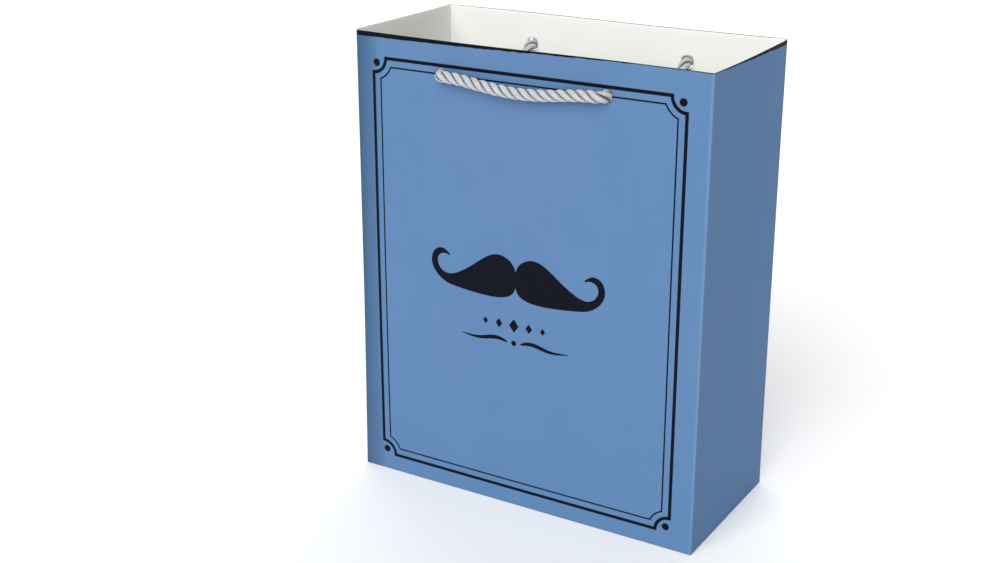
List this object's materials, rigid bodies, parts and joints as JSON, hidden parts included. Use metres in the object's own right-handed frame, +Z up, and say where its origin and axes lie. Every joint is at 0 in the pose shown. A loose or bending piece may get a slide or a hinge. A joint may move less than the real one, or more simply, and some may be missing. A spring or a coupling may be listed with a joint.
{
  "type": "gift bag",
  "caption": "Tall flat-bottomed paper gift bag with side gussets, a turned-in top, a loose base board and two knotted rope handles.",
  "frame": {"origin": "centre of the flat face the bag stands on", "axes": "+Z up to the mouth, printed front towards -Y, +X along the width to the right of the front"},
  "size_m": [0.26, 0.1372, 0.32],
  "materials": {
    "paper_blue": "matte",
    "paper_inside": "matte",
    "grey_card": "matte",
    "rope": "satin"
  },
  "bodies": {
    "bag": {"front_panel": "paper_blue", "back_panel": "paper_blue", "right_gusset": "paper_blue", "left_gusset": "paper_blue", "seam_flap": "paper_inside", "front_hem": "paper_inside", "back_hem": "paper_inside", "right_hem": "paper_inside", "left_hem": "paper_inside", "front_card": "grey_card", "back_card": "grey_card", "front_bottom_flap": "paper_inside", "back_bottom_flap": "paper_inside", "right_bottom_flap": "paper_inside", "left_bottom_flap": "paper_inside", "front_rope_tail_right": "rope", "front_knot_right": "rope", "front_rope_end_right": "rope", "front_rope_tail_left": "rope", "front_knot_left": "rope", "front_rope_end_left": "rope", "back_rope_tail_right": "rope", "back_knot_right": "rope", "back_rope_end_right": "rope", "back_rope_tail_left": "rope", "back_knot_left": "rope", "back_rope_end_left": "rope"},
    "base_board": {"base_board": "grey_card"},
    "front_handle": {"front_rope": "rope"},
    "back_handle": {"back_rope": "rope"}
  },
  "joints": [
    {"name": "base_board_lift", "type": "slide", "parent": "bag", "child": "base_board", "axis": [0, 0, 1], "range_m": [0, 0.165]},
    {"name": "front_handle_swing", "type": "hinge", "parent": "bag", "child": "front_handle", "pos_m": [0, -0.0646, 0.2975], "axis": [-1, 0, 0], "range_deg": [0, 180]},
    {"name": "back_handle_swing", "type": "hinge", "parent": "bag", "child": "back_handle", "pos_m": [0, 0.0646, 0.2975], "axis": [1, 0, 0], "range_deg": [0, 180]}
  ]
}
